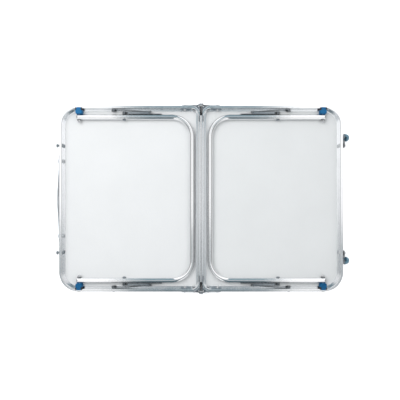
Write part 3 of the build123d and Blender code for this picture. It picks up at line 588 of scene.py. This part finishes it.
def hinge_cover(sign, end):
    """Pressed corner cover that carries the line of the long rail up to the hinge."""
    def build(bm):
        outline = [(0.0420, 0.3815), (0.0420, 0.3922), (0.0125, 0.3922), (0.0118, 0.3872), (0.0050, 0.3868),
                   (0.0042, 0.3858), (0.0042, 0.3700)]
        outline += bead_edge(0.3700, 0.3812, 8)[1:]
        prism(bm, [(sign * x, end * y) for x, y in outline], 0.0180, 0.0292, 0.0012)
    return build


def seam_clip(sign, end):
    """Flat steel clip on top of the seam rail's bead."""
    def build(bm):
        outline = [(sign * (0.0078 + x), end * (0.3380 + y)) for x, y in rounded(0.0044, 0.0270, 0.0020)]
        prism(bm, outline, 0.0290, 0.0303, 0.0002)
    return build


def seam_stop(sign, end):
    """Thin black buffer strip with a rounded end, stuck on top of the bead beside the fold line."""
    def build(bm):
        near, far = 0.0004, 0.0060
        turns = [math.pi / 2 * step / 6 for step in range(7)]
        outline = [(near + (far - near) * math.sin(t), 0.3560 - (far - near) * math.cos(t)) for t in turns]
        outline += [(far, 0.3720), (near, 0.3720)]
        prism(bm, [(sign * x, end * y) for x, y in outline], 0.0285, 0.03035, 0.0002)
    return build


def rivet_caps(sign, end, rivet_x, depth):
    """Domed push-on cap with a flange, over a hinge rivet's tail."""
    def build(bm):
        dome = [(0.0047 * math.cos(a), 0.0016 + (depth - 0.0016) * math.sin(a))
                for a in (math.pi / 2 * step / 10 for step in range(11))]
        lathe(bm, [(0.0, 0.0), (0.0063, 0.0), (0.0063, 0.0008), (0.0056, 0.0014)] + dome[:-1] + [(0.0, depth)],
              (sign * rivet_x, end * 0.3792, 0.0170), (0, -end, 0), 32)
    return build


# ---------------------------------------------------------------- seals, handle, knobs and bolt recesses
def panel_seal(sign):
    """Sealing strip in the corner between the ledge and the panel."""
    def build(bm):
        path = rail_line(sign, 0.0205, 0.0049, 0.0064)
        section = [(-0.0010, 0.0), (0.0016, 0.0), (0.0014, 0.0006), (0.0004, 0.0011), (-0.0006, 0.0013),
                   (-0.0010, 0.0012)]
        sweep(bm, path, [(-sign * a, b) for a, b in section], closed=True)
    return build


def handle_grip(bm):
    """Soft ribbed sleeve round the middle of the strap."""
    strap = nodes["handle_strap"]
    path = []
    reach, count = 0.066, 88
    for step in range(count + 1):
        y = reach * (2 * step / count - 1)
        _, place, _, _ = strap.ray_cast(Vector((-0.7, y, BOLT_Z)), Vector((1, 0, 0)))
        path.append((place.x + 0.0015, y, BOLT_Z))

    def section(index):
        y = abs(path[index][1])
        taper = min(1.0, (reach - y) / 0.006)
        rib = 0.5 + 0.5 * math.cos(2 * math.pi * y / 0.0088)
        thick = 0.0036 + 0.0008 * taper + 0.0008 * taper * rib
        tall = 0.0206 + 0.0010 * taper + 0.0010 * taper * rib
        return rounded(thick, tall, thick * 0.42, 4)

    sweep(bm, path, section)


def knob_band(end, away):
    """Ridged grip band round the base of a latch knob, open where the pocket for the stud comes out."""
    def build(bm):
        low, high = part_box(f"latch_knob_{end}")
        centre = Vector((low[0], (low[1] + high[1]) / 2, BOLT_Z))
        profile = ((0.0003, 0.0158), (0.0003, 0.0166), (0.0008, 0.0170), (0.0022, 0.0170), (0.0028, 0.0167),
                   (0.0030, 0.0158))
        loops = []
        for step in range(77):
            angle = math.radians(210 + 3 * step)
            groove = 0.00025 * (step % 4 < 2)
            loop = []
            for offset, radius in profile:
                reach = radius - groove * (radius > 0.0165)
                spoke = Vector((offset, away * reach * math.cos(angle), reach * math.sin(angle)))
                loop.append(bm.verts.new(centre + spoke))
            loops.append(loop)
        for near, far in zip(loops, loops[1:]):
            for corner in range(len(profile)):
                following = (corner + 1) % len(profile)
                bm.faces.new((near[corner], near[following], far[following], far[corner]))
        bm.faces.new(loops[0])
        bm.faces.new(loops[-1][::-1])
    return build


def bolt_recess(bm, origin, axis, radius):
    """Hexagonal driving recess with a raised rim, on the crown of a bolt head, coloured dark as painted shade.
    """
    profile = [(radius * 1.35, -0.0009), (radius * 1.30, 0.0001), (radius * 1.12, 0.0003), (radius, 0.0001),
               (radius * 0.96, -0.0010), (0.0, -0.0012)]
    lathe(bm, profile, origin, axis, 6)


def side_recesses(sign):
    """Recesses on the leg pivots' and braces' bolt heads along the long sides."""
    def build(bm):
        for _, end in ENDS:
            bolt_recess(bm, (sign * PIVOT_X, end * 0.39695, BOLT_Z), (0, end, 0), 0.0031)
            bolt_recess(bm, (sign * BRACE_X, end * 0.39645, BOLT_Z), (0, end, 0), 0.0027)
    return build


def end_recesses(node, outward):
    """Recesses on a node's outer bolt heads, at the end of the table that outward points to."""
    def build(bm):
        low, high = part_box(node)
        x = high[0] if outward > 0 else low[0]
        crowns = {round(vert.co.y, 4) for vert in nodes[node].data.vertices if abs(vert.co.x - x) < 0.00005}
        for y in sorted(crowns):
            bolt_recess(bm, (x - outward * 0.00005, y, BOLT_Z), (outward, 0, 0), 0.0028)
    return build


for side, sign in SIDES:
    half = f"{side}_half"
    for end_name, end in ENDS:
        place = f"{side}_{end_name}"
        piece(f"block_ribs_{place}", half, blue[place], block_ribs(sign, end))
        piece(f"block_pads_{place}", half, soft_black, block_pads(sign, end))
        piece(f"block_lip_{place}", half, blue[place], block_lip(sign, end))
        piece(f"hinge_wedge_{place}", half, soft_black, hinge_wedge(sign, end))
        piece(f"hinge_cover_{place}", half, hinge_zinc, hinge_cover(sign, end))
        piece(f"seam_clip_{place}", half, dark_steel, seam_clip(sign, end))
        piece(f"seam_stop_{place}", half, soft_black, seam_stop(sign, end))
        piece(f"far_rivet_cap_{place}", half, chrome, rivet_caps(sign, end, FAR_RIVET_X, 0.0085))
        piece(f"near_rivet_cap_{place}", half, dark_steel, rivet_caps(sign, end, NEAR_RIVET_X, 0.0062))
    nuts = piece(f"acorn_nuts_{side}", half, chrome, acorn_nuts(sign))
    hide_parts(f"pivot_nuts_{side}")
    piece(f"nut_collars_{side}", half, soft_black, nut_collars(sign))
    piece(f"panel_seal_{side}", half, seal_grey, panel_seal(sign))
    piece(f"bolt_recesses_{side}", half, recess_shade, side_recesses(sign))
for end_name, end in ENDS:
    piece(f"hinge_barrel_{end_name}", "left_half", bright_zinc, hinge_barrel(end))
    piece(f"knob_band_{end_name}", f"latch_{end_name}", dark_teal, knob_band(end_name, end))
piece("handle_grip", "left_half", grip_grey, handle_grip)
piece("handle_recesses", "left_half", recess_shade, end_recesses("handle_bolts", -1))
piece("latch_recesses", "right_half", recess_shade, end_recesses("latch_bolts", 1))

# ---------------------------------------------------------------- floor, light and camera
floor_mesh = bpy.data.meshes.new("floor")
floor_mesh.from_pydata([(-9, -9, 0), (9, -9, 0), (9, 9, 0), (-9, 9, 0)], [], [(0, 1, 2, 3)])
floor = bpy.data.objects.new("floor", floor_mesh)
floor.location.z = -0.0004
bpy.context.scene.collection.objects.link(floor)
ground = Shader("pale_floor")
ground_tone = ground.span(ground.noise(ground.point, 1.2, 3), 0.3, 0.7, 0.945, 0.96)
ground.set(Base_Color=ground.join(ground_tone, ground_tone, ground_tone), Roughness=0.9,
           Emission_Color=rgb(1, 1, 1), Emission_Strength=0.45)
floor_mesh.materials.append(ground.material)


def soft_light(name, location, target, size, power):
    """A large soft box at location that faces target."""
    light = bpy.data.lights.new(name, "AREA")
    light.shape = "RECTANGLE"
    light.size, light.size_y = size
    light.energy = power
    lamp = bpy.data.objects.new(name, light)
    lamp.location = location
    lamp.rotation_euler = (Vector(target) - Vector(location)).to_track_quat("-Z", "Y").to_euler()
    lamp.visible_camera = False
    lamp.visible_glossy = False
    bpy.context.scene.collection.objects.link(lamp)


soft_light("box_left", (-1.2, 0.9, 2.1), (-0.3, 0, 0), (2.0, 2.0), 38.5)
soft_light("box_right", (1.3, 0.5, 2.4), (0.2, 0, 0), (2.0, 2.4), 9.5)


GAP_COLOUR = rgb(0.24, 0.34, 0.39)
WALL_COLOUR = rgb(0.62, 0.66, 0.68)


def studio_world():
    """A white studio seen in the metal: soft boxes left and right, a darker gap overhead, dim walls."""
    world = bpy.data.worlds.new("studio")
    world.use_nodes = True
    bpy.context.scene.world = world
    s = NodeTree(world.node_tree)
    direction = s.add("ShaderNodeTexCoord").outputs["Generated"]
    x, y, z = s.split(direction)
    away = s.math("ABSOLUTE", x)
    boxes = s.span(away, 0.135, 0.172)
    patch = s.span(s.math("ABSOLUTE", y), 0.175, 0.158, 0.0, 0.74)
    lit = s.math("MAXIMUM", boxes, patch)
    front = s.span(y, -0.16, -0.02, 0.86, 1.0)
    sides = s.span(away, 0.40, 0.85, 1.0, 0.34)
    bright = s.math("MULTIPLY", s.math("MULTIPLY", s.math("MULTIPLY", lit, front), sides), 1.28)
    corner = s.math("MULTIPLY", s.span(away, 0.248, 0.270), s.span(y, -0.045, -0.075))
    corner = s.math("MULTIPLY", corner, s.span(z, 0.5, 0.8))
    shaded = s.blend(corner, rgb(1, 1, 1), rgb(0.33, 0.37, 0.39))
    white_box = s.blend(1.0, s.join(bright, bright, bright), shaded, "MULTIPLY")
    low_gap = s.span(y, -0.195, -0.165, 0.48, 1.0)
    gap = s.blend(1.0, GAP_COLOUR, s.join(low_gap, low_gap, low_gap), "MULTIPLY")
    ceiling = s.blend(lit, gap, white_box)
    room = s.blend(s.span(z, -0.05, 0.12), s.blend(1.0, ceiling, WALL_COLOUR, "MULTIPLY"), ceiling)
    seen = s.blend(s.add("ShaderNodeLightPath").outputs["Is Camera Ray"], room, rgb(0.93, 0.935, 0.94))
    s.feed(world.node_tree.nodes["Background"].inputs[0], seen)


studio_world()

CAMERA_HEIGHT = 2.03
RIM_HEIGHT = 0.03
VIEW_WIDTH = 1.687               # width of the view at the height of the rims
camera_data = bpy.data.cameras.new("camera")
camera_data.sensor_width = 36
camera_data.lens = camera_data.sensor_width * (CAMERA_HEIGHT - RIM_HEIGHT) / VIEW_WIDTH
camera_data.clip_end = 100
camera = bpy.data.objects.new("camera", camera_data)
camera.location = (-0.0047, -0.0057, CAMERA_HEIGHT)
bpy.context.scene.collection.objects.link(camera)
bpy.context.scene.camera = camera
bpy.context.scene.view_settings.view_transform = "Standard"
